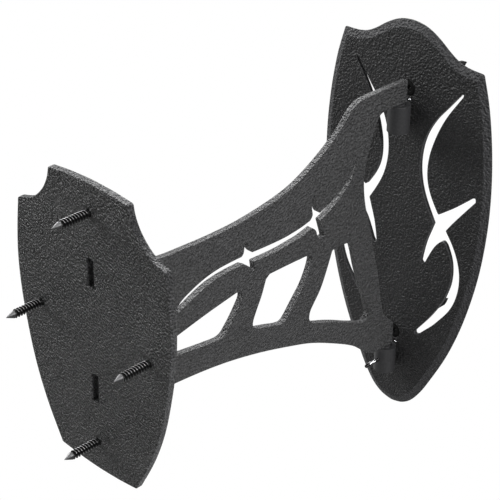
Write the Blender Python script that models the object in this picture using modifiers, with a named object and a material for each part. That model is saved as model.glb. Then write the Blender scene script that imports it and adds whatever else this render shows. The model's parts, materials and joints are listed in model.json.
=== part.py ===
"""Swivelling wall display bracket.

A shield-shaped wall plate carries a pierced, swept arm plate on two tabs. The
arm ends in two tongues. A pin hangs under each tongue and turns in a short
tube behind a larger, pierced front plate, so that the front plate swivels
about one vertical axis. A lock screw in the lower tube stops the swivel. Four
wood screws fasten the wall plate, and two long ones fasten the front plate to
whatever it carries.

Frame: the scene is in metres, and the sizes below are in millimetres. The
origin is the centre of the wall plate's back face. +Y runs out of the wall
into the room, +Z is up, and +X is to the right as seen from behind the wall.
"""

import math
from collections import namedtuple

import bmesh
import bpy
from mathutils import Matrix, Vector

MM = 0.001
GAP = 0.35  # clearance between neighbouring pieces
MERGE_DISTANCE = 1e-6  # metres

# Wall plate
WALL_THICK = 3.8
WALL_TOP_HALF = 27.0
WALL_TOP_Z = 76.2
WALL_SHOULDER_HALF = 50.8
WALL_SHOULDER_Z = 52.0
WALL_BELLY_HALF = 53.7
WALL_FOOT_HALF = 27.2
WALL_CROWN = 1.8  # how far the top and bottom edges bow out
WALL_CORNER = 1.2
SLOT_WIDTH = 4.5
SLOT_TOP, SLOT_BOTTOM = 38.9, 23.9  # the lower slot is its mirror image
WALL_SCREW_X = 38.1
WALL_SCREW_Z = 62.4

# Arm plate
ARM_THICK = 3.8
ARM_REAR = WALL_THICK + GAP
ARM_CORNER = 0.8
TAB_END = 2.4  # the tabs stop short of the wall face
TAB_TOP, TAB_BOTTOM = SLOT_TOP - GAP, SLOT_BOTTOM + GAP
ARM_END = 220.8
UPPER_TONGUE_TOP = 61.0
UPPER_TONGUE_BOTTOM = 48.3
LOWER_TONGUE_BOTTOM = -103.8

# Hinge
AXIS_Y = 216.9
TUBE_OUTER = 12.3
TUBE_INNER = 7.0
TUBE_LENGTH = 15.9
TUBE_CHAMFER = 0.4
PIN_DIAMETER = 6.35
PIN_LENGTH = 14.6
PIN_TOP_CHAMFER = 0.3
PIN_BOTTOM_CHAMFER = 1.0
GROOVE_DIAMETER = 5.0
GROOVE_WIDTH = 4.2

# Lock screw in the lower tube
LOCK_Z = -111.5
LOCK_DIAMETER = 2.2
LOCK_END = 200.1  # Y of its outer end
LOCK_TIP_GAP = 0.3  # between its tip and the pin's groove
LOCK_HOLE_GAP = 0.3
LOCK_PITCH = 1.0
LOCK_THREAD_DEPTH = 0.32
LOCK_END_INSET = 0.5  # how much smaller the end faces are in radius
LOCK_TIP_CHAMFER = 0.4
LOCK_THREAD_START = 1.4  # no new thread ring begins nearer the outer end
SOCKET_RADIUS = 0.5
SOCKET_CUT = 3.0  # cutter length; half of it is inside the screw

# Front plate
FRONT_Y = AXIS_Y + TUBE_OUTER / 2 + GAP  # its back face
FRONT_THICK = 2.5
FRONT_CORNER = 1.6
RIM_WIDTH = 4.3
RIM_DEPTH = 1.8
FRONT_SCREW_Z = {"upper": 55.1, "lower": -96.8}

# Wood screws. The length includes the head; the plain part is between the
# head's cone and the thread.
ScrewSize = namedtuple("ScrewSize", "diameter length plain")
WALL_SCREW = ScrewSize(diameter=4.6, length=21.0 + WALL_THICK, plain=2.6)
FRONT_SCREW = ScrewSize(diameter=4.8, length=50.7, plain=14.0)
HEAD_RADIUS = 8.8 / 2
HEAD_LAND = 0.25  # straight side of the head
HEAD_CHAMFER = 0.12
SHANK_RATIO = 0.80  # plain shank to thread diameter
ROOT_RATIO = 0.68  # thread root to thread diameter
THREAD_PITCH = 1.59
THREAD_SLOPE = 0.6  # the share of the pitch from a root to its crest
THREAD_RUN_IN = 0.3
TIP_LENGTH = 5.2
RECESS_SPAN, RECESS_WIDTH = 4.6, 1.0  # the cross in the head
RECESS_CUT = 2.6  # cutter length; half of it is inside the head
HOLE_LAND = 0.35  # straight step at the wide end of a countersunk hole
CUT_ABOVE = 1.0  # how far a countersink cutter stands off the plate
CUT_BEYOND = 2.0  # how far a hole's cutter runs on past the far side

# Colours (linear RGB)
WALL_COAT = (0.045, 0.045, 0.047)
ARM_COAT = (0.050, 0.050, 0.052)
FRONT_COAT = (0.036, 0.036, 0.038)
TUBE_COAT = (0.042, 0.042, 0.044)
BLACK_STEEL = (0.012, 0.012, 0.013)

# Directions, and the turns that stand a flat piece upright
Y_AXIS, Z_AXIS = (0, 1, 0), (0, 0, 1)
ACROSS = Matrix.Rotation(math.radians(90), 4, "X")  # into the XZ plane
ALONG = Matrix(((0, 0, 1, 0), (1, 0, 0, 0), (0, 1, 0, 0), (0, 0, 0, 1)))  # YZ plane


# --- scene ------------------------------------------------------------------

for old in list(bpy.data.objects):
    bpy.data.objects.remove(old, do_unlink=True)

scene = bpy.context.scene
scene.unit_settings.system = "METRIC"
scene.unit_settings.scale_length = 1.0

parts = bpy.data.collections.new("wall_display_bracket")
scene.collection.children.link(parts)
cutters = bpy.data.collections.new("cutters")
scene.collection.children.link(cutters)


def move_to(obj, collection):
    for holder in list(obj.users_collection):
        holder.objects.unlink(obj)
    collection.objects.link(obj)


def finish(obj, suffix, colour, roughness, metallic):
    """Gives a piece its own material and puts it among the parts."""
    made = bpy.data.materials.new(f"{obj.name}_{suffix}")
    made.use_nodes = True
    shader = made.node_tree.nodes["Principled BSDF"]
    shader.inputs["Base Color"].default_value = (*colour, 1.0)
    shader.inputs["Roughness"].default_value = roughness
    shader.inputs["Metallic"].default_value = metallic
    obj.data.materials.append(made)
    move_to(obj, parts)


def finish_coat(obj, colour):
    finish(obj, "coat", colour, roughness=0.62, metallic=0.0)


def finish_steel(obj):
    finish(obj, "black_steel", BLACK_STEEL, roughness=0.28, metallic=0.9)


def cut(obj, cutter, name):
    """Subtracts a hidden cutter from a piece."""
    move_to(cutter, cutters)
    cutter.hide_render = True
    cutter.display_type = "WIRE"
    boolean = obj.modifiers.new(name, "BOOLEAN")
    boolean.operation = "DIFFERENCE"
    boolean.solver = "EXACT"
    boolean.object = cutter


# --- flat outlines ----------------------------------------------------------


def through(points, steps):
    """A smooth open curve through the points (centripetal Catmull-Rom)."""
    points = [Vector(point) for point in points]
    padded = [2 * points[0] - points[1], *points, 2 * points[-1] - points[-2]]
    out = []
    for window in zip(padded, padded[1:], padded[2:], padded[3:]):
        knots = [0.0]
        for here, there in zip(window, window[1:]):
            knots.append(knots[-1] + (there - here).length ** 0.5)
        for i in range(steps):
            at = knots[1] + (knots[2] - knots[1]) * i / steps

            def blend(first, second, low, high):
                span = high - low
                return first * ((high - at) / span) + second * ((at - low) / span)

            # Each level blends neighbours over a wider span of knots.
            level = window
            for reach in (1, 2):
                level = [
                    blend(level[k], level[k + 1], knots[k], knots[k + reach])
                    for k in range(len(level) - 1)
                ]
            out.append(blend(level[0], level[1], knots[1], knots[2]))
    out.append(points[-1])
    return out


def contour(start, *runs, steps=3):
    """An outline from its start point on. A lone point draws a straight line to
    itself, a list of points a smooth curve, and the places where runs meet stay
    corners. A last straight line back to the start is left out."""
    same_point = 0.02
    out = []
    for run in runs:
        if isinstance(run, list):
            points = through([start, *run], steps)
            start = run[-1]
        else:
            points = [Vector(start), Vector(run)]
            start = run
        for point in points:
            if not out or (point - out[-1]).length > same_point:
                out.append(point)
    if (out[0] - out[-1]).length < same_point:
        out.pop()
    return out


def round_corners(outline, radius):
    """Replaces each corner of a closed outline with a small arc."""
    sharpest_kept = 30.0  # degrees
    steps = 3
    out = []
    for i, here in enumerate(outline):
        before = outline[i - 1] - here
        after = outline[(i + 1) % len(outline)] - here
        turn = math.pi - before.angle(after)
        if math.degrees(turn) < sharpest_kept:
            out.append(here)
            continue
        reach = min(
            radius * math.tan(turn / 2), 0.45 * before.length, 0.45 * after.length
        )
        first = here + before.normalized() * reach
        last = here + after.normalized() * reach
        for k in range(steps + 1):
            part = k / steps
            rest = 1 - part
            out.append(rest**2 * first + 2 * part * rest * here + part * part * last)
    return out


def mirrored(outline):
    return [Vector((-point.x, point.y)) for point in reversed(outline)]


def both_sides(half):
    """Closes a half outline, which starts and ends on the centre line."""
    return half + mirrored(half[1:-1])


def rectangle(x0, x1, z0, z1):
    return [Vector(corner) for corner in ((x0, z0), (x1, z0), (x1, z1), (x0, z1))]


def upright(name, outlines, thickness, turn, middle_y=0.0):
    """A plate from closed outlines (the first is the edge, the rest are
    openings): a filled 2D curve, extruded evenly both ways, made a mesh, then
    turned upright and moved along Y."""
    curve = bpy.data.curves.new(name, "CURVE")
    curve.dimensions = "2D"
    curve.fill_mode = "BOTH"
    curve.extrude = thickness / 2 * MM
    for outline in outlines:
        spline = curve.splines.new("POLY")
        spline.points.add(len(outline) - 1)
        for point, place in zip(spline.points, outline):
            point.co = (place.x * MM, place.y * MM, 0.0, 1.0)
        spline.use_cyclic_u = True
    source = bpy.data.objects.new(name + "_outline", curve)
    scene.collection.objects.link(source)
    bpy.context.view_layer.update()
    graph = bpy.context.evaluated_depsgraph_get()
    mesh = bpy.data.meshes.new_from_object(source.evaluated_get(graph))
    mesh.name = name
    bpy.data.objects.remove(source, do_unlink=True)

    # The caps and the sides come unjoined.
    joined = bmesh.new()
    joined.from_mesh(mesh)
    bmesh.ops.remove_doubles(joined, verts=joined.verts, dist=MERGE_DISTANCE)
    bmesh.ops.recalc_face_normals(joined, faces=joined.faces)
    joined.to_mesh(mesh)
    joined.free()
    mesh.transform(Matrix.Translation((0, middle_y * MM, 0)) @ turn)
    return bpy.data.objects.new(name, mesh)


# --- simple solids ----------------------------------------------------------


def turned(name, profile, axis, origin, steps):
    """A turned solid. The profile lists (radius, height) from top to bottom
    down the outer side; the Screw modifier turns it about local Z, which then
    points along the given axis from the origin."""
    mesh = bpy.data.meshes.new(name)
    verts = [(radius * MM, 0.0, height * MM) for radius, height in profile]
    mesh.from_pydata(verts, [(i, i + 1) for i in range(len(verts) - 1)], [])
    made = bpy.data.objects.new(name, mesh)
    screw = made.modifiers.new("turn", "SCREW")
    screw.axis = "Z"
    screw.steps = steps
    screw.render_steps = steps
    screw.use_merge_vertices = True
    screw.merge_threshold = MERGE_DISTANCE
    screw.use_smooth_shade = True
    made.rotation_euler = Vector(axis).to_track_quat("Z", "Y").to_euler()
    made.location = Vector(origin) * MM
    return made


def cylinder_along_y(name, radius, length, centre, sides):
    bpy.ops.mesh.primitive_cylinder_add(
        vertices=sides, radius=radius * MM, depth=length * MM
    )
    made = bpy.context.active_object
    made.name = name
    made.data.transform(Vector(Y_AXIS).to_track_quat("Z", "Y").to_matrix().to_4x4())
    made.location = Vector(centre) * MM
    return made


def box(name, size, centre):
    bpy.ops.mesh.primitive_cube_add(size=1.0)
    made = bpy.context.active_object
    made.name = name
    made.data.transform(Matrix.Diagonal((*[side * MM for side in size], 1.0)))
    made.location = Vector(centre) * MM
    return made


# --- wood screws ------------------------------------------------------------


def wood_screw(name, size, face, way, x, z):
    """A countersunk wood screw. Its head is flush with the plane Y = face, and
    it points along +Y or -Y (way). The thread is a row of rings at the screw's
    pitch, and a cross recess is cut in the head."""
    crest = size.diameter / 2
    shank = crest * SHANK_RATIO
    root = crest * ROOT_RATIO
    seat = HEAD_RADIUS - shank
    tip_start = -(size.length - TIP_LENGTH)
    plain_end = -(seat + size.plain)
    profile = [
        (0.0, 0.0),
        (HEAD_RADIUS - HEAD_CHAMFER, 0.0),
        (HEAD_RADIUS, -HEAD_LAND),
        (shank, -seat),
        (shank, plain_end),
    ]
    height = plain_end - THREAD_RUN_IN
    while height - THREAD_PITCH > tip_start:
        profile += [(root, height), (crest, height - THREAD_PITCH * THREAD_SLOPE)]
        height -= THREAD_PITCH
    profile += [(root, height), (root, tip_start), (0.0, -size.length)]
    made = turned(name, profile, (0, -way, 0), (x, face, z), steps=10)
    for bar, size_x, size_z in (
        ("recess_a", RECESS_SPAN, RECESS_WIDTH),
        ("recess_b", RECESS_WIDTH, RECESS_SPAN),
    ):
        slot = box(f"{name}_{bar}", (size_x, RECESS_CUT, size_z), (x, face, z))
        cut(made, slot, bar)
    return made


def countersink(name, diameter, depth, face, way, x, z):
    """A cutter for a countersunk screw's hole, wide at the plane Y = face."""
    hole = diameter / 2 * SHANK_RATIO + GAP
    head = HEAD_RADIUS + GAP
    # The straight step at the plane keeps the same gap round the head's land.
    profile = [
        (0.0, CUT_ABOVE),
        (head, CUT_ABOVE),
        (head, -HOLE_LAND),
        (hole, -HOLE_LAND - (head - hole)),
        (hole, -depth),
        (0.0, -depth),
    ]
    return turned(name, profile, (0, -way, 0), (x, face, z), steps=16)


def fasten(plate, thickness, name, size, face, way, x, z):
    """Cuts a countersunk hole in a plate and puts a wood screw in it."""
    depth = thickness + CUT_BEYOND
    hole = countersink(name + "_hole", size.diameter, depth, face, way, x, z)
    cut(plate, hole, name)
    finish_steel(wood_screw(name, size, face, way, x, z))


# --- wall plate -------------------------------------------------------------

# Right half of the edge, (X, Z), from the top centre down to the bottom centre
WALL_HALF = contour(
    (0, WALL_TOP_Z + WALL_CROWN),
    [(14, WALL_TOP_Z + 1.3), (WALL_TOP_HALF, WALL_TOP_Z)],
    [(28.5, 70.0), (32.5, 62.8), (39.5, 56.2), (45.0, 53.7),
     (WALL_SHOULDER_HALF, WALL_SHOULDER_Z)],
    [(52.8, 36.0), (WALL_BELLY_HALF, 20.5), (52.6, 2.0), (49.5, -17.0),
     (44.6, -37.5), (37.4, -56.5), (WALL_FOOT_HALF, -WALL_TOP_Z)],
    [(14, -WALL_TOP_Z - 1.3), (0, -WALL_TOP_Z - WALL_CROWN)],
)

# Screw names and their places, (X, Z)
WALL_SCREW_PLACES = {
    "wall_screw_top": (0, WALL_SCREW_Z),
    "wall_screw_bottom": (0, -WALL_SCREW_Z),
    "wall_screw_left": (-WALL_SCREW_X, 0),
    "wall_screw_right": (WALL_SCREW_X, 0),
}


def build_wall_plate():
    """The shield with two slots for the arm's tabs, and its four screws."""
    slot_half = SLOT_WIDTH / 2
    outlines = [
        round_corners(both_sides(WALL_HALF), WALL_CORNER),
        rectangle(-slot_half, slot_half, SLOT_BOTTOM, SLOT_TOP),
        rectangle(-slot_half, slot_half, -SLOT_TOP, -SLOT_BOTTOM),
    ]
    plate = upright("wall_plate", outlines, WALL_THICK, ACROSS, WALL_THICK / 2)
    finish_coat(plate, WALL_COAT)
    for name, (x, z) in WALL_SCREW_PLACES.items():
        fasten(plate, WALL_THICK, name, WALL_SCREW, WALL_THICK, -1, x, z)


# --- arm plate --------------------------------------------------------------
# Outlines are (Y, Z). The edge runs from the root's top, over the upper
# tongue, down the bowed edge to the lower tongue, back underneath and round
# the two tabs.

ARM_EDGE = contour(
    (ARM_REAR, 44.0),
    [(12.0, 36.0), (24.0, 28.5), (40.0, 23.8), (61.0, 22.3), (79.0, 21.8),
     (97.0, 22.4), (121.0, 25.6), (135.0, 29.3), (148.0, 35.4), (158.0, 41.4),
     (165.0, 46.3), (172.0, 52.8), (176.0, 57.0), (181.0, 59.8),
     (187.0, UPPER_TONGUE_TOP)],
    (ARM_END, UPPER_TONGUE_TOP),
    (ARM_END, UPPER_TONGUE_BOTTOM),
    (203.0, UPPER_TONGUE_BOTTOM),
    [(199.5, 47.3), (197.2, 44.0), (193.7, 34.5), (190.3, 24.0), (188.7, 12.7),
     (190.6, -2.0), (194.3, -14.0), (200.2, -35.8), (204.8, -52.2),
     (207.0, -62.8), (209.0, -72.2), (211.3, -79.7), (216.0, -85.2),
     (ARM_END, -89.8)],
    (ARM_END, LOWER_TONGUE_BOTTOM),
    (209.5, LOWER_TONGUE_BOTTOM),
    [(203.8, -103.0), (198.8, -100.7), (194.0, -96.8), (186.0, -90.4),
     (166.0, -79.7), (150.0, -72.5), (135.0, -67.6), (110.0, -60.6),
     (85.0, -55.4), (61.0, -52.4), (30.0, -50.4), (ARM_REAR, -49.5)],
    (ARM_REAR, -TAB_TOP),
    (TAB_END, -TAB_TOP),
    (TAB_END, -TAB_BOTTOM),
    (ARM_REAR, -TAB_BOTTOM),
    (ARM_REAR, TAB_BOTTOM),
    (TAB_END, TAB_BOTTOM),
    (TAB_END, TAB_TOP),
    (ARM_REAR, TAB_TOP),
)

# Three windows, from the wall outwards
WINDOW_ROOT = contour(
    (50.8, -24.4),
    [(72.0, -20.2), (93.0, -16.8)],
    [(96.6, -18.6), (97.0, -21.5), (93.5, -27.5), (89.0, -33.4), (84.6, -38.0)],
    [(81.5, -39.2), (73.0, -38.5), (61.0, -36.9), (50.8, -35.4)],
)
WINDOW_MIDDLE = contour(
    (116.8, -15.6),
    [(135.0, -15.8), (145.5, -16.3)],
    [(148.6, -18.3), (148.6, -21.5), (143.8, -32.3), (138.2, -39.3),
     (130.6, -48.2)],
    [(127.8, -50.0), (116.0, -47.0), (107.8, -44.5)],
    [(105.2, -42.2), (105.0, -39.6), (108.0, -32.4), (111.0, -26.4),
     (114.2, -17.6)],
)
WINDOW_FRONT = contour(
    (165.0, -20.8),
    [(168.0, -20.2), (179.0, -21.0)],
    [(181.0, -23.5), (185.8, -39.0), (190.2, -52.0), (194.5, -63.5),
     (197.6, -73.0)],
    [(196.8, -77.0), (193.5, -78.0)],
    [(183.0, -73.8), (169.0, -67.2), (151.0, -59.8)],
    [(148.6, -57.0), (148.7, -52.4), (150.4, -49.4), (156.4, -41.2),
     (161.2, -30.8), (165.0, -20.8)],
)

# A long curved slit with two barbs across it
BARBED_SLIT = contour(
    (51.0, -9.0),
    [(55.0, -5.6), (60.0, -3.1), (70.0, 0.4), (80.0, 2.2), (90.0, 2.6),
     (96.2, 2.6)],
    [(97.6, 4.0), (98.4, 9.5)],
    (100.1, 9.2),
    [(100.8, 6.2), (103.7, 2.3)],
    [(115.0, 1.7), (128.0, 1.6), (140.0, 2.8), (146.6, 4.2)],
    [(148.4, 6.6), (147.8, 11.0), (147.6, 17.8)],
    (149.8, 17.8),
    [(151.2, 12.2), (152.3, 8.0), (154.0, 6.0)],
    [(160.0, 8.4), (166.3, 11.6), (172.5, 15.4), (177.0, 19.4), (181.4, 27.4)],
    (182.6, 27.0),
    [(178.9, 18.0), (174.0, 12.8), (168.0, 8.0), (161.0, 4.0), (154.6, 1.4)],
    (158.2, -9.4),
    (154.6, -9.8),
    [(152.8, -7.2), (151.3, -3.3), (148.6, -0.9)],
    [(145.0, -1.8), (139.7, -2.9), (132.2, -3.6), (122.0, -4.2), (105.2, -3.7)],
    (106.0, -8.5),
    (104.2, -9.1),
    [(103.3, -6.7), (101.2, -4.7), (97.2, -2.2)],
    [(88.0, -2.2), (80.0, -2.8), (73.0, -4.0), (64.6, -6.8), (57.4, -9.8),
     (53.0, -11.2)],
)


def build_arm_plate():
    outlines = [
        round_corners(outline, radius)
        for outline, radius in (
            (ARM_EDGE, ARM_CORNER),
            (WINDOW_ROOT, 1.0),
            (WINDOW_MIDDLE, 1.0),
            (WINDOW_FRONT, 0.8),
            (BARBED_SLIT, 0.6),
        )
    ]
    finish_coat(upright("arm_plate", outlines, ARM_THICK, ALONG), ARM_COAT)


# --- front plate ------------------------------------------------------------

# Right half of the edge, (X, Z), from the top centre down to the bottom centre
FRONT_HALF = contour(
    (0, 92.8),
    [(7, 92.0), (13, 89.8), (19, 86.3), (25, 82.0), (31, 78.6), (37, 77.0),
     (47.3, 76.4)],
    [(52.0, 60.0), (55.6, 40.0), (57.6, 20.0), (58.1, 0.0), (57.0, -20.0),
     (54.5, -40.0), (50.3, -60.0), (44.6, -80.0), (37.0, -100.0),
     (27.1, -120.0), (20.3, -132.0), (13.5, -140.5), (7.0, -144.6),
     (0, -146.0)],
)

# The right piercing, (X, Z): a curved slit that crosses a four-pointed star
# and curves back
PIERCING = contour(
    (35.9, 62.8),
    [(30.8, 56.4), (25.6, 49.8), (20.5, 43.4), (15.2, 34.2), (12.2, 25.0),
     (11.1, 14.8), (12.0, 5.6), (14.3, -2.4), (17.8, -9.8), (22.9, -18.6)],
    [(20.8, -24.6), (18.6, -31.0), (17.0, -38.0), (15.9, -44.6)],
    [(17.4, -45.8), (19.3, -44.0)],
    [(22.2, -37.6), (25.0, -32.2), (27.8, -28.6), (30.4, -26.7), (32.8, -28.6)],
    [(34.9, -32.6), (36.7, -37.4), (37.6, -44.6), (37.0, -51.8), (35.2, -58.2),
     (33.0, -64.0), (29.3, -70.6), (24.9, -77.6), (19.7, -84.8), (15.0, -91.0)],
    [(15.6, -92.8), (17.8, -92.0)],
    [(22.2, -87.3), (27.3, -82.0), (32.4, -75.6), (37.8, -68.0), (41.2, -60.6),
     (43.2, -51.6), (43.1, -42.6), (40.6, -33.6), (36.6, -26.0), (31.8, -19.5)],
    [(35.2, -14.6), (41.0, -6.9), (50.0, 4.6)],
    [(49.6, 6.8), (47.9, 6.2)],
    [(37.0, -3.4), (26.0, -11.8)],
    [(20.8, -3.6), (17.7, 3.8), (16.6, 11.4), (17.3, 20.4), (20.2, 31.0),
     (23.8, 40.0), (28.2, 48.3), (36.5, 60.8)],
    [(36.9, 62.2), (35.9, 62.8)],
    steps=2,
)
PIERCING_CORNER = 1.0


def crossing(start, end, other_start, other_end):
    """Where two segments meet, or None."""
    along, other = end - start, other_end - other_start
    cross = along.x * other.y - along.y * other.x
    if abs(cross) < 1e-9:
        return None
    between = other_start - start
    part = (between.x * other.y - between.y * other.x) / cross
    other_part = (between.x * along.y - between.y * along.x) / cross
    slack = 1e-6
    if -slack <= part <= 1 + slack and -slack <= other_part <= 1 + slack:
        return start + along * part
    return None


def inset(outline, width):
    """The closed outline moved inwards by width, with as many points. Where a
    corner's points would fold over, they all go to the mitre instead."""
    look_ahead = 10  # the longest fold, in points
    area = sum(
        here.x * there.y - there.x * here.y
        for here, there in zip(outline, outline[1:] + outline[:1])
    )
    side = 1.0 if area > 0 else -1.0
    count = len(outline)
    out = []
    for i, here in enumerate(outline):
        into = (here - outline[i - 1]).normalized()
        away = (outline[(i + 1) % count] - here).normalized()
        normal_in = Vector((-into.y, into.x)) * side
        normal_out = Vector((-away.y, away.x)) * side
        mean = (normal_in + normal_out).normalized()
        out.append(here + mean * (width / max(0.5, mean.dot(normal_in))))
    for i in range(count):
        for reach in range(look_ahead, 1, -1):
            j = i + reach
            meet = crossing(*[out[k % count] for k in (i, i + 1, j, j + 1)])
            if meet is not None:
                for k in range(i + 1, j + 1):
                    out[k % count] = meet.copy()
                break
    return out


def rimmed_plate(name, outline):
    """A plate whose back edge has a wide, shallow bevel: a loft over three
    copies of its outline."""
    rings = [
        (inset(outline, RIM_WIDTH), FRONT_Y),
        (outline, FRONT_Y + RIM_DEPTH),
        (outline, FRONT_Y + FRONT_THICK),
    ]
    loft = bmesh.new()
    loops = [
        [loft.verts.new((point.x * MM, y * MM, point.y * MM)) for point in ring]
        for ring, y in rings
    ]
    count = len(outline)
    for low, high in zip(loops, loops[1:]):
        for i in range(count):
            j = (i + 1) % count
            loft.faces.new((low[i], low[j], high[j], high[i]))
    loft.faces.new(loops[0])
    loft.faces.new(loops[-1])
    bmesh.ops.remove_doubles(loft, verts=loft.verts, dist=MERGE_DISTANCE)
    bmesh.ops.recalc_face_normals(loft, faces=loft.faces)
    mesh = bpy.data.meshes.new(name)
    loft.to_mesh(mesh)
    loft.free()
    return bpy.data.objects.new(name, mesh)


def build_front_plate():
    """The pierced plate and the two long screws that point away from it."""
    edge = round_corners(both_sides(FRONT_HALF), FRONT_CORNER)
    plate = rimmed_plate("front_plate", edge)
    piercing = round_corners(PIERCING, PIERCING_CORNER)
    middle_y = FRONT_Y + FRONT_THICK / 2
    cut_thick = FRONT_THICK + 2 * CUT_BEYOND
    for side, outline in (("right", piercing), ("left", mirrored(piercing))):
        name = "piercing_" + side
        cut(plate, upright(name, [outline], cut_thick, ACROSS, middle_y), name)
    finish_coat(plate, FRONT_COAT)
    for level, z in FRONT_SCREW_Z.items():
        name = "front_screw_" + level
        fasten(plate, FRONT_THICK, name, FRONT_SCREW, FRONT_Y, 1, 0, z)


# --- hinge ------------------------------------------------------------------
# The tubes and pins are on the axis X = 0, Y = AXIS_Y.


def hinge_tube(name, top):
    outer, inner = TUBE_OUTER / 2, TUBE_INNER / 2
    bottom = top - TUBE_LENGTH
    profile = [
        (outer - TUBE_CHAMFER, top),
        (outer, top - TUBE_CHAMFER),
        (outer, bottom + TUBE_CHAMFER),
        (outer - TUBE_CHAMFER, bottom),
        (inner, bottom),
        (inner, top),
        (outer - TUBE_CHAMFER, top),
    ]
    return turned(name, profile, Z_AXIS, (0, AXIS_Y, 0), steps=24)


def hinge_pin(name, top, groove_z=None):
    """A pin, with a groove round it if groove_z gives the groove's middle."""
    radius = PIN_DIAMETER / 2
    bottom = top - PIN_LENGTH
    profile = [(0.0, top), (radius - PIN_TOP_CHAMFER, top), (radius, top - PIN_TOP_CHAMFER)]
    if groove_z is not None:
        groove_top = groove_z + GROOVE_WIDTH / 2
        groove_bottom = groove_z - GROOVE_WIDTH / 2
        profile += [
            (radius, groove_top),
            (GROOVE_DIAMETER / 2, groove_top),
            (GROOVE_DIAMETER / 2, groove_bottom),
            (radius, groove_bottom),
        ]
    profile += [
        (radius, bottom + PIN_BOTTOM_CHAMFER),
        (radius - PIN_BOTTOM_CHAMFER, bottom),
        (0.0, bottom),
    ]
    return turned(name, profile, Z_AXIS, (0, AXIS_Y, 0), steps=20)


def build_upper_hinge():
    top = UPPER_TONGUE_BOTTOM - GAP
    finish_coat(hinge_tube("upper_hinge_tube", top), TUBE_COAT)
    finish_steel(hinge_pin("upper_hinge_pin", top))


def build_lower_hinge():
    """The lower tube has a hole for the lock screw, and its pin a groove."""
    top = LOWER_TONGUE_BOTTOM - GAP
    tube = hinge_tube("lower_hinge_tube", top)
    hole_radius = LOCK_DIAMETER / 2 + LOCK_HOLE_GAP
    length = TUBE_OUTER / 2 + CUT_BEYOND
    centre = (0, AXIS_Y - length / 2, LOCK_Z)
    hole = cylinder_along_y("lock_screw_hole", hole_radius, length, centre, sides=20)
    cut(tube, hole, "lock_screw")
    finish_coat(tube, TUBE_COAT)
    finish_steel(hinge_pin("lower_hinge_pin", top, LOCK_Z))


def build_lock_screw():
    """It points at the pin. Its outer end, with a six-sided socket, faces the
    wall."""
    length = AXIS_Y - GROOVE_DIAMETER / 2 - LOCK_TIP_GAP - LOCK_END
    crest = LOCK_DIAMETER / 2
    root = crest - LOCK_THREAD_DEPTH
    height = length - LOCK_TIP_CHAMFER
    profile = [(0.0, length), (crest - LOCK_END_INSET, length), (crest - 0.1, height)]
    while height > LOCK_THREAD_START:
        profile += [(root, height - LOCK_PITCH / 2), (crest, height - LOCK_PITCH)]
        height -= LOCK_PITCH
    profile += [(crest - LOCK_END_INSET, 0.0), (0.0, 0.0)]
    origin = (0, LOCK_END, LOCK_Z)
    lock = turned("lock_screw", profile, Y_AXIS, origin, steps=10)
    socket = cylinder_along_y(
        "lock_screw_socket", SOCKET_RADIUS, SOCKET_CUT, origin, sides=6
    )
    cut(lock, socket, "socket")
    finish_steel(lock)


build_wall_plate()
build_arm_plate()
build_front_plate()
build_upper_hinge()
build_lower_hinge()
build_lock_screw()
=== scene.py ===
"""A swivelling wall display bracket.

The wall plate lies flat in XZ with its wall face at y = 0 and the room towards
+Y. The arm plate stands out from it in YZ. Two upright (Z) hinge pins at its
far end carry the tubes of the front plate, which also lies in XZ.
Shapes are worked out in mm and turned into metres as vertices are made.
"""

import json
import math

import bmesh
import bpy
from mathutils import Matrix, Vector, noise
from mathutils.geometry import tessellate_polygon


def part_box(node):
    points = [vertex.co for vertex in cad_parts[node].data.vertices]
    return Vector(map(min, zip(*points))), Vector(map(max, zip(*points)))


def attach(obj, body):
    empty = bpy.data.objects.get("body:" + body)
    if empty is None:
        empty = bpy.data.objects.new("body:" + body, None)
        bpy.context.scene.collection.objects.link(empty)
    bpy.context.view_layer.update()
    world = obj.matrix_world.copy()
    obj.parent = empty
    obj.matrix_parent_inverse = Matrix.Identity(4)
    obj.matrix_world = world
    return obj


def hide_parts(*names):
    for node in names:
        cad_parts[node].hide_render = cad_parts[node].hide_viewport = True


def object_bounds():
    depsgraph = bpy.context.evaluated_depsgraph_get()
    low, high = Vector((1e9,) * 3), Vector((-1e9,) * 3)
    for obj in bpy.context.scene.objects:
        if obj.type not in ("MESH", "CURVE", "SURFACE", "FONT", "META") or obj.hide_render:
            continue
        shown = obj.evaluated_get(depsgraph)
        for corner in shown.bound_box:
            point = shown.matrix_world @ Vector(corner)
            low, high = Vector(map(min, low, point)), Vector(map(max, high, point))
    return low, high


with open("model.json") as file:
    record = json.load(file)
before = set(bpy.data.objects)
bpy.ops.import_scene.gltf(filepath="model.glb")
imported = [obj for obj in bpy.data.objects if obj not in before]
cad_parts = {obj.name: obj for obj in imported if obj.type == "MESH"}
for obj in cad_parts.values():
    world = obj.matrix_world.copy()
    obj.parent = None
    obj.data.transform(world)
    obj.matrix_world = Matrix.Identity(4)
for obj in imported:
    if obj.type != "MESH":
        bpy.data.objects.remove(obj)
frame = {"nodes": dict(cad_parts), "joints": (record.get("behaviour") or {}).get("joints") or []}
cad_low, cad_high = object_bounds()

MM = 0.001
HINGE_Y = frame["joints"][0]["pos_m"][1] / MM

# Plates: spacing of outline points, and radius of the rounded arrises.
WALL_BACK = 0.0
WALL_EDGE = {"spacing": 1.2, "arris": 0.45}
WALL_HOLE = {"spacing": 1.0, "arris": 0.3}
ARM_EDGE = {"spacing": 1.0, "arris": 0.45}
ARM_HOLE = {"spacing": 0.8, "arris": 0.15}
FRONT_SPACING = 1.2
FRONT_ARRIS = 0.25
FRONT_HOLE = {"spacing": 0.8, "arris": 0.05}

# The hammered slope round the low-Y side of the front plate.
RIM_WIDTH = 4.3
RIM_DEPTH = 1.8
RIM_STEP = 0.18
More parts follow.
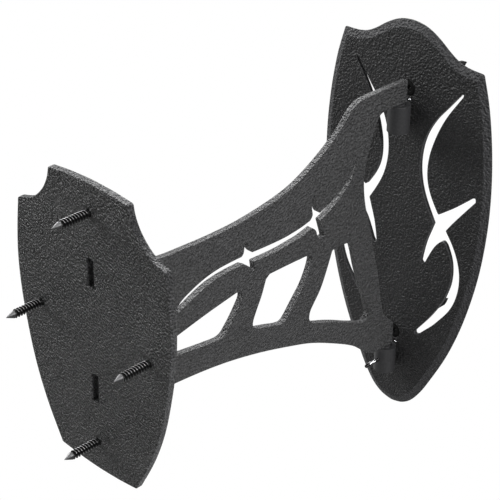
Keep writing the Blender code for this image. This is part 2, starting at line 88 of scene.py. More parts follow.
# (share of the width, share of the depth), from the flat outwards
RIM_SLOPE = ((1.0, 0.0), (0.93, 0.10), (0.62, 0.42), (0.30, 0.78), (0.06, 1.0))

# Hinge
TUBE_WALL = 2.65
TUBE_BEVEL = 0.2
BORE_BEVEL = 0.3
GROOVE_RADIUS = 2.5
TACK_RADIUS = 0.85
TACK_HALF_HEIGHT = 0.75
TACK_X = 2.45
TACK_Y = HINGE_Y + 5.85
TACK_LIFT = {"upper": 1.1, "lower": 0.9}  # above the tube's top

# Screws
WALL_SCREW_MAJOR = 4.6
FRONT_SCREW_MAJOR = 4.8
WOOD_PITCH = 1.59
WOOD_POINT = 5.0  # length of the smooth point
SHANK_SHARE = 0.40  # shank radius as a share of the major diameter
WOOD_ROOT_SHARE = 0.62  # root radius as a share of the crest radius
LONG_SCREW = 30.0  # from this length on, the shank has a long smooth part
LOCK_PITCH = 0.9
LOCK_THREAD_DEPTH = 0.16
# Shares of one pitch: flat root, and flat crest.
THREAD_ROOT_SHARE = 0.30
THREAD_CREST_SHARE = 0.06


def box_mm(node):
    """A node's low and high corners in mm."""
    return [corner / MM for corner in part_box(node)]


def ramp(t):
    """A smooth step from 0 to 1, level outside that range."""
    t = min(1.0, max(0.0, t))
    return t * t * (3 - 2 * t)


# --- outlines ---------------------------------------------------------------


def flat_loops(node, axis, level, tolerance=2e-5):
    """The closed outlines of a node's flat face at axis = level (metres), as
    lists of 2D points in mm (the two other axes, in X, Y, Z order)."""
    mesh = frame["nodes"][node].data
    keep = [k for k in range(3) if k != axis]

    def key(index):
        co = mesh.vertices[index].co
        return (round(co[keep[0]] * 1e6), round(co[keep[1]] * 1e6))

    uses_of = {}
    for poly in mesh.polygons:
        if all(abs(mesh.vertices[v].co[axis] - level) < tolerance for v in poly.vertices):
            ring = [key(v) for v in poly.vertices]
            for start, end in zip(ring, ring[1:] + ring[:1]):
                if start != end:
                    edge = frozenset((start, end))
                    uses_of[edge] = uses_of.get(edge, 0) + 1

    # An edge with one face is on the border.
    neighbours = {}
    for edge, uses in uses_of.items():
        if uses == 1:
            start, end = tuple(edge)
            neighbours.setdefault(start, []).append(end)
            neighbours.setdefault(end, []).append(start)

    loops = []
    left = set(neighbours)
    while left:
        here, before = min(left), None
        loop = [here]
        left.discard(here)
        while True:
            onward = [p for p in neighbours[here] if p != before and p in left]
            if not onward:
                break
            before, here = here, onward[0]
            left.discard(here)
            loop.append(here)
        loops.append([Vector((x / 1000.0, y / 1000.0)) for x, y in loop])
    return sorted(loops, key=lambda loop: -abs(area(loop)))


def area(loop):
    """The loop's area, positive when it runs counter-clockwise."""
    return 0.5 * sum(p.x * q.y - q.x * p.y for p, q in zip(loop, loop[1:] + loop[:1]))


def centre_of(loop):
    return sum(loop, Vector((0, 0))) / len(loop)


def radii_of(loop):
    centre = centre_of(loop)
    return [(point - centre).length for point in loop]


def is_round(loop):
    radii = radii_of(loop)
    return len(loop) > 8 and max(radii) - min(radii) < 0.08 * max(radii)


def tidy(loop, shortest=0.12):
    """Drops points that lie almost on top of their neighbour."""
    out = []
    for point in loop:
        if not out or (point - out[-1]).length > shortest:
            out.append(point)
    while len(out) > 3 and (out[0] - out[-1]).length <= shortest:
        out.pop()
    return out


def blend(first, second, knot1, knot2, t):
    """The point at t on the line through first (knot1) and second (knot2)."""
    span = knot2 - knot1
    return first * ((knot2 - t) / span) + second * ((t - knot1) / span)


def curve_guide(near, far, outer, sharp):
    """The guide point beyond the near end of a side. At a corner, or on a long
    straight side next to a tight arc, it keeps that end straight."""
    if sharp or (far - near).length > 6 * (near - outer).length:
        return 2 * near - far
    return outer


def finer(loop, spacing, corner=38.0):
    """The closed loop as a smooth curve through its points (centripetal
    Catmull-Rom), resampled to the spacing and run counter-clockwise. Turns of
    more than corner degrees stay sharp."""
    loop = tidy(loop)
    if area(loop) < 0:
        loop = loop[::-1]
    count = len(loop)
    sharp = []
    for i, here in enumerate(loop):
        arriving = here - loop[i - 1]
        leaving = loop[(i + 1) % count] - here
        sharp.append(math.degrees(arriving.angle(leaving)) > corner)
    out = []
    for i in range(count):
        j = (i + 1) % count
        here, after = loop[i], loop[j]
        before = curve_guide(here, after, loop[i - 1], sharp[i])
        beyond = curve_guide(after, here, loop[(i + 2) % count], sharp[j])
        steps = max(1, round((after - here).length / spacing))
        knot1 = (here - before).length ** 0.5
        knot2 = knot1 + (after - here).length ** 0.5
        knot3 = knot2 + (beyond - after).length ** 0.5
        for k in range(steps):
            t = knot1 + (knot2 - knot1) * k / steps
            first = blend(before, here, 0.0, knot1, t)
            second = blend(here, after, knot1, knot2, t)
            third = blend(after, beyond, knot2, knot3, t)
            early = blend(first, second, 0.0, knot2, t)
            late = blend(second, third, knot1, knot3, t)
            out.append(blend(early, late, knot1, knot2, t))
    return out


def crossing(start, end, other_start, other_end):
    """Where two line segments meet, or None."""
    along, other = end - start, other_end - other_start
    cross = along.x * other.y - along.y * other.x
    if abs(cross) < 1e-12:
        return None
    gap = other_start - start
    t = (gap.x * other.y - gap.y * other.x) / cross
    u = (gap.x * along.y - gap.y * along.x) / cross
    return start + along * t if 0 <= t <= 1 and 0 <= u <= 1 else None


def inset(loop, width, look=24):
    """The counter-clockwise loop moved to its left by width (negative moves it
    outwards), point for point. Folds up to look points long are gathered at
    their crossing. Width may also be a function of a point's index."""
    count = len(loop)
    out = []
    for i, here in enumerate(loop):
        arriving = (here - loop[i - 1]).normalized()
        leaving = (loop[(i + 1) % count] - here).normalized()
        normal = Vector((-arriving.y, arriving.x))
        mean = normal + Vector((-leaving.y, leaving.x))
        mean = mean.normalized() if mean.length > 1e-6 else normal
        shift = width(i) if callable(width) else width
        out.append(here + mean * (shift / max(0.6, mean.dot(normal))))
    for i in range(count):
        for reach in range(look, 1, -1):
            j = i + reach
            ends = [out[k % count] for k in (i, i + 1, j, j + 1)]
            if (ends[0] - ends[1]).length < 1e-6 or (ends[2] - ends[3]).length < 1e-6:
                continue
            meet = crossing(*ends)
            if meet is not None:
                for k in range(i + 1, j + 1):
                    out[k % count] = meet.copy()
                break
    return out


def circle(centre, radius, steps):
    turns = [2 * math.pi * k / steps for k in range(steps)]
    return [centre + Vector((radius * math.cos(a), radius * math.sin(a))) for a in turns]


# --- building meshes --------------------------------------------------------


def join_rings(made, first, second):
    """A band of faces between two rings. Either may be a single point."""
    count = max(len(first), len(second))
    for i in range(count):
        j = (i + 1) % count
        if len(first) == 1:
            made.faces.new((first[0], second[j], second[i]))
        elif len(second) == 1:
            made.faces.new((first[i], first[j], second[0]))
        else:
            made.faces.new((first[i], first[j], second[j], second[i]))


def smooth_object(name, made):
    bmesh.ops.recalc_face_normals(made, faces=made.faces)
    mesh = bpy.data.meshes.new(name)
    made.to_mesh(mesh)
    made.free()
    obj = bpy.data.objects.new(name, mesh)
    bpy.context.scene.collection.objects.link(obj)
    mesh.shade_smooth()
    return obj


def even_shading(obj, weight=50):
    weighted = obj.modifiers.new("even_shading", "WEIGHTED_NORMAL")
    weighted.weight = weight
    weighted.keep_sharp = True


def fit(obj, shade, body, node=None):
    """Gives a piece its material and body, and the node it stands in for."""
    obj.data.materials.append(shade)
    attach(obj, body)
    if node:
        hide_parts(node)


def axes_along(way):
    """Unit vectors along way and two across it."""
    way = Vector(way).normalized()
    side = way.orthogonal().normalized()
    return way, side, way.cross(side)


def spot(origin, axes, radius, angle, along):
    """A point round an axis, in metres."""
    way, side, other = axes
    across = side * math.cos(angle) + other * math.sin(angle)
    return (origin + way * along + across * radius) * MM


def build_plate(name, walls, place):
    """A closed plate. Walls is a list of stacks of (ring, heights), the outer
    edge first. A stack runs from the low face to the high face, and every ring
    in it has as many points. Place(point, height) gives a 3D point in mm."""
    made = bmesh.new()
    low, high = [], []
    for stack in walls:
        rows = [
            [made.verts.new(place(p, h) * MM) for p, h in zip(ring, heights)]
            for ring, heights in stack
        ]
        for below, above in zip(rows, rows[1:]):
            join_rings(made, below, above)
        low.append((rows[0], stack[0][0]))
        high.append((rows[-1], stack[-1][0]))
    for cap in (low, high):
        verts = [v for row, _ in cap for v in row]
        flat = [[Vector((p.x, p.y, 0.0)) for p in ring] for _, ring in cap]
        for triangle in tessellate_polygon(flat):
            corners = [verts[k] for k in triangle]
            if len(set(corners)) == 3 and made.faces.get(corners) is None:
                made.faces.new(corners)
    bmesh.ops.remove_doubles(made, verts=made.verts, dist=2e-6)
    bmesh.ops.dissolve_degenerate(made, edges=made.edges, dist=1e-6)
    obj = smooth_object(name, made)
    even_shading(obj, weight=90)
    return obj


def edge_profile(low, high, radius, steps=3):
    """(inset, height) pairs up a plate's edge with both arrises rounded."""
    turns = [math.pi / 2 * k / steps for k in range(steps + 1)]
    lower = [
        (radius * (1 - math.sin(a)), low + radius * (1 - math.cos(a))) for a in turns
    ]
    upper = [
        (radius * (1 - math.cos(a)), high - radius * (1 - math.sin(a))) for a in turns
    ]
    return lower + upper


def plain_wall(outline, low, high, spacing, arris, hole=False):
    """The rings up one edge of a plate. A hole's material is on its outside."""
    loop = finer(outline, spacing)
    return [
        (inset(loop, -step if hole else step), [height] * len(loop))
        for step, height in edge_profile(low, high, arris)
    ]


def cone_hole(centre, wide, narrow, wide_level, narrow_level, steps=40):
    """A countersunk hole's rings, ordered from low to high."""
    toward = 1 if narrow_level > wide_level else -1
    rim = 0.15  # bevel at the wide mouth
    land = 0.35  # depth at which the cone starts
    bevel = 0.2  # at the narrow mouth
    rows = [
        (wide + rim, wide_level),
        (wide, wide_level + toward * rim),
        (wide, wide_level + toward * land),
        (narrow, wide_level + toward * (land + wide - narrow)),
        (narrow, narrow_level - toward * bevel),
        (narrow + bevel, narrow_level),
    ][::toward]
    return [(circle(centre, radius, steps), [level] * steps) for radius, level in rows]


def hole_wall(loop, wide_loops, wide_level, narrow_level, hole_edge):
    """The wall of one opening. A round one is countersunk to the size of the
    nearest of wide_loops, the round openings in the other face."""
    if not is_round(loop):
        low, high = sorted((wide_level, narrow_level))
        return plain_wall(loop, low, high, **hole_edge, hole=True)
    centre = centre_of(loop)
    twin = min(wide_loops, key=lambda other: (centre_of(other) - centre).length)
    wide, narrow = max(radii_of(twin)), max(radii_of(loop))
    return cone_hole(centre, wide, narrow, wide_level, narrow_level)


def round_loops(node, axis, level):
    return [loop for loop in flat_loops(node, axis, level) if is_round(loop)]


def in_xz(point, height):
    return Vector((point.x, height, point.y))


def in_yz(point, height):
    return Vector((height, point.x, point.y))


# --- materials --------------------------------------------------------------


class Nodes:
    """The node tree of a material or world, with short ways to add to it."""

    def __init__(self, owner):
        owner.use_nodes = True
        self.tree = owner.node_tree

    def __getitem__(self, name):
        return self.tree.nodes[name]

    def feed(self, node, inputs):
        """Sets each input to a value, or links it from an output."""
        for key, value in inputs.items():
            if isinstance(value, bpy.types.NodeSocket):
                self.tree.links.new(value, node.inputs[key])
            else:
                node.inputs[key].default_value = value

    def add(self, kind, inputs=None, **settings):
        node = self.tree.nodes.new("ShaderNode" + kind)
        for key, value in settings.items():
            setattr(node, key, value)
        self.feed(node, inputs or {})
        return node

    def math(self, operation, first, second=None, clamp=False):
        inputs = {0: first} if second is None else {0: first, 1: second}
        return self.add("Math", inputs, operation=operation, use_clamp=clamp).outputs[0]

    def noise(self, where, scale, detail, rough=0.5):
        inputs = {"Scale": scale, "Detail": detail, "Roughness": rough, "Vector": where}
        return self.add("TexNoise", inputs)

    def bump(self, height, strength, distance_mm):
        inputs = {"Strength": strength, "Distance": distance_mm * MM, "Height": height}
        return self.add("Bump", inputs).outputs["Normal"]

    def mix_colour(self, share, first, second):
        inputs = {0: share, 6: (*first, 1.0), 7: (*second, 1.0)}
        return self.add("Mix", inputs, data_type="RGBA").outputs[2]

    def object_place(self):
        return self.add("TexCoord").outputs["Object"]


def painted_edge_highlight(nodes, paint, face_axis, edge_highlight_gain):
    """Painted highlight on the edges: paint times the gain wherever the surface doesn't face
    along face_axis.
    """
    normal = nodes.add("NewGeometry").outputs["True Normal"]
    facing = nodes.add(
        "VectorTransform", {0: normal},
        vector_type="NORMAL", convert_from="WORLD", convert_to="OBJECT",
    )
    axes = nodes.add("SeparateXYZ", {0: facing.outputs[0]})
    flat = nodes.math("ABSOLUTE", axes.outputs[face_axis])
    # Flat faces end at 0.985. The change to an edge is steep.
    edge = nodes.math("MULTIPLY", nodes.math("SUBTRACT", 0.985, flat), 16.0, clamp=True)
    gain = nodes.math("ADD", nodes.math("MULTIPLY", edge, edge_highlight_gain - 1.0), 1.0)
    return nodes.add("VectorMath", {0: paint, "Scale": gain}, operation="SCALE").outputs[0]


def powder_coat(name, colour, depth, gloss, specular, bump=1.0, offset=0.0,
                squeeze=(1.0, 1.0, 1.0), hollow_shade_and_mottle=0.3, hollow_shade_contrast=0.9,
                face_axis=None, edge_highlight_gain=1.0):
    """A wrinkle powder coat: close leathery cells a little over 1 mm across,
    with a fine orange peel on top. Depth is the bump height in mm, gloss the
    least roughness, and offset and squeeze place the pattern. The two shade
    settings set how far and how sharply the tone varies: painted shade makes
    the hollows darker and duller and the crests lighter and shinier, over a
    little random drift in tone. Face_axis and the edge gain paint a highlight
    on the edges."""
    material = bpy.data.materials.new(name)
    nodes = Nodes(material)
    where = nodes.add(
        "VectorMath",
        {0: nodes.object_place(), 1: (offset, offset * 0.7, offset * 1.3)},
        operation="ADD",
    ).outputs[0]
    where = nodes.add("VectorMath", {0: where, 1: squeeze}, operation="MULTIPLY").outputs[0]

    # A warp makes the cells run and join as wrinkles do.
    warp = nodes.noise(where, scale=480.0, detail=1.0).outputs["Color"]
    warp_reach = 0.0009
    warped = nodes.add(
        "VectorMath", {0: warp, 1: (warp_reach,) * 3, 2: where}, operation="MULTIPLY_ADD"
    ).outputs[0]
    cells = nodes.add(
        "TexVoronoi",
        {"Scale": 690.0, "Smoothness": 0.7, "Vector": warped},
        feature="SMOOTH_F1",
    ).outputs["Distance"]
    mid = nodes.noise(where, scale=860.0, detail=1.0, rough=0.45).outputs["Fac"]
    fine = nodes.noise(where, scale=2600.0, detail=2.0, rough=0.6).outputs["Fac"]
    drift = nodes.noise(where, scale=34.0, detail=2.0).outputs["Fac"]

    cell_height, mid_height, fine_height = -0.55, 1.15, 0.14
    height = nodes.math("MULTIPLY", cells, cell_height)
    height = nodes.math("ADD", height, nodes.math("MULTIPLY", mid, mid_height))
    height = nodes.math("ADD", height, nodes.math("MULTIPLY", fine, fine_height))
    normal = nodes.bump(height, strength=bump, distance_mm=depth)

    # Painted shade: the hollows are painted darker than the crests, and the
    # whole coat also drifts a little in tone from place to place.
    drift_share = nodes.math("MULTIPLY", drift, 0.3)
    share = nodes.math("ADD", nodes.math("MULTIPLY", mid, hollow_shade_contrast), drift_share)
    share = nodes.math("SUBTRACT", share, 0.5 * hollow_shade_contrast - 0.35, clamp=True)
    dark = [c * (1.0 - hollow_shade_and_mottle) for c in colour]
    light = [min(1.0, c * (1.0 + hollow_shade_and_mottle)) for c in colour]
    paint = nodes.mix_colour(share, dark, light)
    # Painted highlight on the edges, where the surface turns away from the face.
    if face_axis is not None:
        paint = painted_edge_highlight(nodes, paint, face_axis, edge_highlight_gain)

    # The painted shade reaches the shine too: crests shinier, hollows duller.
    rough = nodes.math("ADD", nodes.math("MULTIPLY", fine, 0.16), gloss)
    shine = nodes.math("MULTIPLY", share, 2.0 * hollow_shade_and_mottle * specular)
    shine = nodes.math("ADD", shine, specular * (1.0 - hollow_shade_and_mottle))
    nodes.feed(
        nodes["Principled BSDF"],
        {"Normal": normal, "Base Color": paint, "Roughness": rough,
         "Specular IOR Level": shine},
    )
    return material


def black_steel(name, colour, rough, metallic=0.0, specular=0.5, highlight_grey=0.0):
    """Steel with fine tool marks. Where the mesh's per-vertex highlight value
    rises, a highlight is painted on: the black turns to bright metal of the given grey."""
    material = bpy.data.materials.new(name)
    nodes = Nodes(material)
    shader = nodes["Principled BSDF"]
    marks = nodes.noise(nodes.object_place(), scale=1500.0, detail=3.0).outputs["Fac"]
    black = (colour, colour, colour * 1.04)
    nodes.feed(
        shader,
        {
            "Normal": nodes.bump(marks, strength=0.35, distance_mm=0.03),
            "Roughness": nodes.math("ADD", nodes.math("MULTIPLY", marks, 0.18), rough),
            "Base Color": (*black, 1.0),
            "Metallic": metallic,
            "Specular IOR Level": specular,
        },
    )
    if highlight_grey > 0.0:
        # Painted highlight: bright metal where the per-vertex value rises.
        painted_highlight = nodes.add("Attribute", attribute_name="painted_highlight").outputs["Fac"]
        paint = nodes.mix_colour(painted_highlight, black, (highlight_grey, highlight_grey, highlight_grey * 1.02))
        nodes.feed(shader, {"Base Color": paint, "Metallic": painted_highlight})
    return material


# All four coats stand for one black paint. Their colours were fitted together with the lamps, so
# they hold painted light and shade: the arm's coat is painted lighter, and the front plate's
# darker, than the wall plate's.
WALL_COAT = powder_coat(
    "wall_plate_coat", (0.0150, 0.0150, 0.0155), depth=12.0, gloss=0.42,
    specular=0.36, squeeze=(1.25, 1.0, 1.0), hollow_shade_and_mottle=0.65, hollow_shade_contrast=1.7,
    face_axis=1, edge_highlight_gain=5.2,
)
ARM_COAT = powder_coat(
    "arm_coat", (0.035, 0.035, 0.036), depth=2.6, gloss=0.5, specular=0.35,
    hollow_shade_and_mottle=0.4, hollow_shade_contrast=1.3, offset=0.31, face_axis=0, edge_highlight_gain=1.15,
)
FRONT_COAT = powder_coat(
    "front_plate_coat", (0.0085, 0.0085, 0.009), depth=1.1, gloss=0.55,
    specular=0.30, offset=0.57, face_axis=1, edge_highlight_gain=3.1,
)
TUBE_COAT = powder_coat(
    "tube_coat", (0.015, 0.015, 0.016), depth=0.10, bump=0.12, gloss=0.5,
    specular=0.35, offset=0.83,
)
# The wall screws and the lock screw carry a painted highlight in bright metal.
STEEL = black_steel("black_steel", colour=0.002, rough=0.22, specular=0.14, highlight_grey=0.50)
DULL_STEEL = black_steel("dull_black_steel", colour=0.002, rough=0.5, specular=0.15)
TACK = black_steel("weld_tack", colour=0.35, rough=0.12, metallic=1.0)
LOCK_STEEL = black_steel(
    "lock_black_steel", colour=0.003, rough=0.14, specular=0.2, highlight_grey=0.5
)

# --- plates -----------------------------------------------------------------


def wall_plate():
    """The plate on the wall, its holes countersunk from the room side."""
    room = box_mm("wall_plate")[1].y
    outline, *openings = flat_loops("wall_plate", 1, WALL_BACK)
    wide_loops = round_loops("wall_plate", 1, room * MM)
    walls = [plain_wall(outline, WALL_BACK, room, **WALL_EDGE)]
    for loop in openings:
        walls.append(hole_wall(loop, wide_loops, room, WALL_BACK, WALL_HOLE))
    plate = build_plate("wall_plate_skin", walls, in_xz)
    fit(plate, WALL_COAT, "wall_side", "wall_plate")


def arm_plate():
    """The upright plate between the wall plate and the hinge."""
    low, high = box_mm("arm_plate")
    outline, *windows = flat_loops("arm_plate", 0, high.x * MM)
    walls = [plain_wall(outline, low.x, high.x, **ARM_EDGE)]
    for loop in windows:
        walls.append(plain_wall(loop, low.x, high.x, **ARM_HOLE, hole=True))
    plate = build_plate("arm_plate_skin", walls, in_yz)
    fit(plate, ARM_COAT, "wall_side", "arm_plate")


def hammered_rim(edge, back, face):
    """The front plate's outer wall, with an uneven slope on its low-Y side."""

    def dent(i, scale, seed):
        return noise.noise(Vector((edge[i].x * scale, edge[i].y * scale, seed)))

    rim = []
    for share, drop in RIM_SLOPE:
        ring = inset(
            edge,
            lambda i: RIM_WIDTH * share + 0.28 * share * dent(i, 0.33, 3.1 * share),
        )
        uneven = 0.12 if 0.0 < drop < 1.0 else 0.0
        heights = [
            back + RIM_DEPTH * drop + uneven * dent(i, 0.45, 9.0 + share)
            for i in range(len(edge))
        ]
        rim.append((ring, heights))
    for ring, height in (
        (edge, back + RIM_DEPTH + RIM_STEP),
        (edge, face - FRONT_ARRIS),
        (inset(edge, FRONT_ARRIS), face),
    ):
        rim.append((ring, [height] * len(edge)))
    return rim


def front_plate():
    """The swivelling plate, its holes countersunk from the low-Y side."""
    low, high = box_mm("front_plate")
    back, face = low.y, high.y
    outline, *openings = flat_loops("front_plate", 1, face * MM)
    wide_loops = round_loops("front_plate", 1, back * MM)
    walls = [hammered_rim(finer(outline, FRONT_SPACING), back, face)]
    for loop in openings:
        walls.append(hole_wall(loop, wide_loops, back, face, FRONT_HOLE))
    plate = build_plate("front_plate_skin", walls, in_xz)
    fit(plate, FRONT_COAT, "front_side", "front_plate")


# --- hinge ------------------------------------------------------------------


def turned(name, profile, origin, steps=64, closed=False):
    """A piece turned round an upright axis. The profile lists (radius, height)
    from the origin. A closed one is joined from its end back to its start."""
    made = bmesh.new()
    origin = Vector(origin)
    axes = axes_along((0, 0, 1))
    rows = []
    for radius, height in profile:
        count = 1 if radius < 1e-6 else steps
        reach = 0.0 if count == 1 else radius
        turns = [2 * math.pi * k / steps for k in range(count)]
        rows.append([made.verts.new(spot(origin, axes, reach, a, height)) for a in turns])
    for first, second in zip(rows, rows[1:]):
        join_rings(made, first, second)
    if closed:
        join_rings(made, rows[-1], rows[0])
    obj = smooth_object(name, made)
    even_shading(obj)
    return obj


def hinge_tube(which):
    node = which + "_hinge_tube"
    low, high = box_mm(node)
    outer = (high.x - low.x) / 2
    inner = outer - TUBE_WALL
    knee = 0.06  # how far the rounded bevel's middle lies from the corner
    profile = [
        (outer - TUBE_BEVEL, high.z),
        (outer - knee, high.z - knee),
        (outer, high.z - TUBE_BEVEL),
        (outer, low.z + TUBE_BEVEL),
        (outer - knee, low.z + knee),
        (outer - TUBE_BEVEL, low.z),
        (inner + BORE_BEVEL, low.z),
        (inner, low.z + BORE_BEVEL),
        (inner, high.z - BORE_BEVEL),
        (inner + BORE_BEVEL, high.z),
    ]
    tube = turned(node + "_skin", profile, (0, HINGE_Y, 0), closed=True)
    fit(tube, TUBE_COAT, "front_side", node)


def hinge_pin(which):
    """A pin. The lower one has a groove level with the lock screw."""
    node = which + "_hinge_pin"
    low, high = box_mm(node)
    radius = (high.x - low.x) / 2
    profile = [
        (0.0, high.z),
        (radius - 0.3, high.z),
        (radius - 0.08, high.z - 0.08),
        (radius, high.z - 0.3),
    ]
    if which == "lower":
        lock_low, lock_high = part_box("lock_screw")
        level = (lock_low + lock_high).z / 2 / MM
        # (radius, distance from the groove's middle), from its upper end
        half = [
            (radius, 2.3),
            (radius - 0.15, 2.1),
            (GROOVE_RADIUS + 0.1, 2.05),
            (GROOVE_RADIUS, 1.9),
        ]
        profile += [(r, level + away) for r, away in half]
        profile += [(r, level - away) for r, away in reversed(half)]
    profile += [
        (radius, low.z + 1.0),
        (radius - 0.2, low.z + 0.6),
        (radius - 1.0, low.z),
        (0.0, low.z),
    ]
    pin = turned(node + "_skin", profile, (0, HINGE_Y, 0))
    fit(pin, TUBE_COAT, "wall_side", node)


def weld_tacks(which):
    """A bright spatter of weld on each side of a tube, on the front plate."""
    top = box_mm(which + "_hinge_tube")[1].z
    turns = [math.pi * k / 10 for k in range(11)]
    profile = [(TACK_RADIUS * math.sin(a), TACK_HALF_HEIGHT * math.cos(a)) for a in turns]
    for side, sign in (("right", 1), ("left", -1)):
        place = (sign * TACK_X, TACK_Y, top + TACK_LIFT[which])
        tack = turned(f"{which}_{side}_weld_tack", profile, place, steps=20)
        fit(tack, TACK, "front_side")


# --- screws -----------------------------------------------------------------


def threaded(name, at, way, head, neck, thread_from, shank, end, crest, root, pitch,
             taper, recess, painted_highlight, around, per_pitch, tip_flat=0.0):
    """A screw along way, its skin wound round the axis in rings. Head lists
    (radius, depth) from the outer face down, and recess(radius, angle) sinks
    the drive into it. From the neck to the end the radius follows a helical
    crest, which fades in at thread_from and stops at the tapered point.
    The last function, of (ridge, depth, left, up), gives the painted highlight: how far the
    black gives way to bright metal."""
    made = bmesh.new()
    highlight_layer = made.verts.layers.float.new("painted_highlight")
    axes = axes_along(way)
    _, side, other = axes
    turns = [2 * math.pi * k / around for k in range(around)]
    rows = [
        [made.verts.new(spot(at, axes, r, a, depth + recess(r, a))) for a in turns]
        for r, depth in head
    ]

    length = end - neck
    total = int(round(length / pitch * per_pitch))
    flank = 1.0 - THREAD_ROOT_SHARE - THREAD_CREST_SHARE
    for n in range(total + 1):
        depth = neck + length * n / total
        left = end - depth
        fade = ramp((depth - thread_from) / (pitch * 0.9))
        stop = ramp((left - taper * 0.98) / (taper * 0.12))
        body = root
        if left < taper:
            tip = left / taper
            body = max(tip_flat, crest * 0.94 * tip ** 0.95)
            # The point starts a little thinner, to meet the root.
            body *= 1.0 - 0.25 * ramp((tip - 0.88) / 0.12)
        row = []
        for k, angle in enumerate(turns):
            turn = depth / pitch - k / around
            wave = abs((turn % 1.0) - 0.5) * 2  # 1 at the crest, 0 in the root
            ridge = min(1.0, max(0.0, (wave - THREAD_ROOT_SHARE) / flank))
            radius = body + (crest - root) * ridge * fade * stop
            if fade < 1.0 and left > taper:
                radius = max(radius, shank * (1 - fade) + root * fade)
            vert = made.verts.new(spot(at, axes, max(radius, 0.02), angle, depth))
            # The painted highlight at this point, from how far it faces upwards.
            up = side.z * math.cos(angle) + other.z * math.sin(angle)
            vert[highlight_layer] = painted_highlight(ridge * fade, depth, left, up)
            row.append(vert)
        rows.append(row)
    for first, second in zip(rows, rows[1:]):
        join_rings(made, first, second)
    made.faces.new(rows[0][::-1])
    made.faces.new(rows[-1])
    bmesh.ops.remove_doubles(made, verts=made.verts, dist=1e-7)
    return smooth_object(name, made)


def cross_recess(radius, angle):
    """Depth of a cross recess with tapering arms and a round core."""
    arm, half_width, deep, slope = 2.3, 0.5, 1.3, 0.28
    x, y = radius * math.cos(angle), radius * math.sin(angle)
    along, across = max(abs(x), abs(y)), min(abs(x), abs(y))
    inside = ramp((half_width - across) / slope + 0.5) * ramp((arm - along) / slope + 0.5)
    core = ramp((half_width * 1.9 - radius) / slope)
    return deep * max(inside * ramp(1.25 - along / arm * 0.8), core)


def hex_socket(radius, angle):
    facet = math.pi / 3
    half_width, deep, slope = 0.5, 1.2, 0.10
    limit = half_width / math.cos((angle % facet) - facet / 2)
    return deep * ramp((limit - radius) / slope + 0.5)


def painted_crest_and_point_highlight(ridge, depth, left, up):
    """Painted highlight on a wood screw, where the light falls: on its point, most on the upper
    side, and on its sharp crests on the upper side.
    """
    if left < WOOD_POINT:
        return 0.05 + 0.20 * ramp((up - 0.35) / 0.5)
    return ramp((ridge - 0.90) / 0.1) * ramp((up - 0.5) / 0.3)


def painted_lock_highlight(ridge, depth, left, up):
    """Painted highlight along the middle of the lock screw's upper side, where the light falls.
    """
    return ramp((depth - 2.6) / 1.0) * ramp((8.2 - depth) / 0.8) * ramp((up - 0.1) / 0.4)


def wood_screw(node, body, way, major, shade):
    """A countersunk wood screw driven towards way (1 or -1) along Y."""
    low, high = box_mm(node)
    head_y, tip_y = (low.y, high.y) if way > 0 else (high.y, low.y)
    reach = abs(tip_y - head_y)
    wide = (high.x - low.x) / 2
    shank = major * SHANK_SHARE
    seat = wide - shank
    head = [(wide * share, 0.0) for share in [0.02] + [0.06 * k for k in range(1, 16)]]
    head += [
        (wide - 0.10, 0.03),
        (wide, 0.13),
        (wide, 0.25),
        (wide - 0.12, 0.36),
        (shank + 0.5, seat - 0.2),
        (shank + 0.15, seat + 0.25),
        (shank, seat + 0.7),
    ]
    screw = threaded(
        node + "_threaded",
        at=Vector(((low.x + high.x) / 2, head_y, (low.z + high.z) / 2)),
        way=(0, way, 0),
        head=head,
        neck=seat + 0.8,
        thread_from=seat + (0.9 if reach < LONG_SCREW else 12.0),
        shank=shank,
        end=reach,
        crest=major / 2,
        root=major / 2 * WOOD_ROOT_SHARE,
        pitch=WOOD_PITCH,
        taper=WOOD_POINT,
        recess=cross_recess,
        painted_highlight=painted_crest_and_point_highlight,
        around=32,
        per_pitch=14,
    )
    fit(screw, shade, body, node)


def lock_screw():
    """A headless hex-socket screw pointing along +Y, threaded all along."""
    low, high = box_mm("lock_screw")
    radius = (high.x - low.x) / 2
    shares = (0.02, 0.2, 0.32, 0.40, 0.46, 0.50, 0.54, 0.60)
    head = [(radius * share, 0.0) for share in shares]
    head += [(radius - 0.36, 0.0), (radius - 0.26, 0.05), (radius - 0.22, 0.25)]
    screw = threaded(
        "lock_screw_threaded",
        at=Vector(((low.x + high.x) / 2, low.y, (low.z + high.z) / 2)),
        way=(0, 1, 0),
        head=head,
        neck=0.35,
        thread_from=-5.0,  # before the face, so the thread is full from the start
        shank=radius - 0.2,
        end=high.y - low.y,
        crest=radius,
        root=radius - LOCK_THREAD_DEPTH,
        pitch=LOCK_PITCH,
        taper=0.9,
        recess=hex_socket,
        painted_highlight=painted_lock_highlight,
        around=36,
        per_pitch=10,
        tip_flat=radius - 0.45,
    )
    fit(screw, LOCK_STEEL, "lock", "lock_screw")


# --- light, floor and camera ------------------------------------------------


def studio_world():
    """Soft light from above, seen as plain white by the camera."""
    world = bpy.data.worlds.new("studio")
    bpy.context.scene.world = world
    nodes = Nodes(world)
    place = nodes.add("TexCoord").outputs["Generated"]
    height = nodes.add("SeparateXYZ", {0: place}).outputs["Z"]
    sky = nodes.add(
        "MapRange",
        {"From Min": 0.0, "From Max": 1.0, "To Min": 0.10, "To Max": 0.30,
         "Value": height},
        interpolation_type="SMOOTHSTEP",
    )
    seen = nodes.add("LightPath").outputs["Is Camera Ray"]
    strength = nodes.add("Mix", {0: seen, 2: sky.outputs[0], 3: 1.0}, data_type="FLOAT")
    nodes.feed(
        nodes["Background"], {"Strength": strength.outputs[0], "Color": (1, 1, 1, 1)}
    )


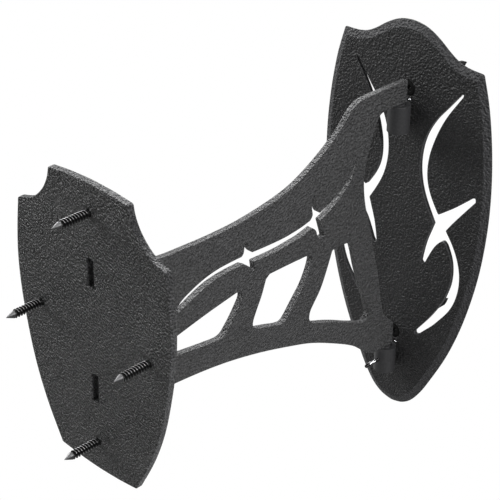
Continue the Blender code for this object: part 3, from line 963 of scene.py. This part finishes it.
def pale_floor():
    """A grey floor for the light, seen as plain white by the camera."""
    gap = 0.45  # below the bracket, in metres
    bpy.ops.mesh.primitive_plane_add(size=12.0, location=(0.0, 0.1, cad_low.z - gap))
    floor = bpy.context.active_object
    floor.name = "floor"
    material = bpy.data.materials.new("pale_floor")
    nodes = Nodes(material)
    shader = nodes["Principled BSDF"]
    nodes.feed(shader, {"Base Color": (0.30, 0.30, 0.30, 1.0), "Roughness": 0.9})
    glow = nodes.add("Emission", {"Strength": 1.0})
    seen = nodes.add("LightPath").outputs["Is Camera Ray"]
    mixed = nodes.add("MixShader", {0: seen, 1: shader.outputs[0], 2: glow.outputs[0]})
    nodes.feed(nodes["Material Output"], {"Surface": mixed.outputs[0]})
    floor.data.materials.append(material)


def soft_light(name, place, target, size, watts):
    lamp = bpy.data.lights.new(name, "AREA")
    lamp.shape = "DISK"
    lamp.size = size
    lamp.energy = watts
    obj = bpy.data.objects.new(name, lamp)
    obj.location = place
    obj.rotation_mode = "QUATERNION"
    obj.rotation_quaternion = (Vector(target) - Vector(place)).to_track_quat("-Z", "Y")
    bpy.context.scene.collection.objects.link(obj)


def aim_camera():
    """The camera, on the wall (-Y) side of the wall plate, towards +X and
    above. Azimuth turns from -Y towards +X."""
    place = (0.505918, -0.415606, 0.408917)
    azimuth, elevation, roll = (math.radians(v) for v in (44.214, 29.263, 0.638))
    backward = Vector((
        math.sin(azimuth) * math.cos(elevation),
        -math.cos(azimuth) * math.cos(elevation),
        math.sin(elevation),
    ))
    level_right = Vector((math.cos(azimuth), math.sin(azimuth), 0.0))
    level_up = backward.cross(level_right)
    right = level_right * math.cos(roll) + level_up * math.sin(roll)
    up = level_up * math.cos(roll) - level_right * math.sin(roll)
    camera = bpy.data.cameras.new("camera")
    camera.sensor_width = 36.0
    camera.lens = 118.975
    camera.shift_x, camera.shift_y = -0.001, 0.001
    camera.clip_start, camera.clip_end = 0.05, 20.0
    eye = bpy.data.objects.new("camera", camera)
    turn = Matrix((right, up, backward)).transposed().to_4x4()
    eye.matrix_world = Matrix.Translation(place) @ turn
    scene = bpy.context.scene
    scene.collection.objects.link(eye)
    scene.camera = eye
    scene.view_settings.view_transform = "Standard"
    scene.view_settings.look = "None"


# --- the whole bracket ------------------------------------------------------

wall_plate()
arm_plate()
front_plate()
for make in (hinge_tube, hinge_pin, weld_tacks):
    for which in ("upper", "lower"):
        make(which)
for place in ("top", "left", "right", "bottom"):
    wood_screw("wall_screw_" + place, "wall_side", -1, WALL_SCREW_MAJOR, STEEL)
for place in ("upper", "lower"):
    wood_screw("front_screw_" + place, "front_side", 1, FRONT_SCREW_MAJOR, DULL_STEEL)
lock_screw()

studio_world()
pale_floor()
# Places and sizes in metres. Left and right are the camera's.
soft_light("key_left", (-0.95, -0.75, 1.15), target=(0, 0.1, 0), size=0.45, watts=9.0)
soft_light("side_left", (-1.55, -0.05, 0.62), target=(0, 0.15, 0), size=0.8, watts=38.0)
soft_light("far_left", (-0.95, 1.05, 1.05), target=(0, 0.15, 0), size=0.8, watts=48.0)
soft_light("side_right", (1.35, -0.05, 1.05), target=(0, 0.15, 0), size=0.8, watts=52.0)
aim_camera()

bpy.context.view_layer.update()
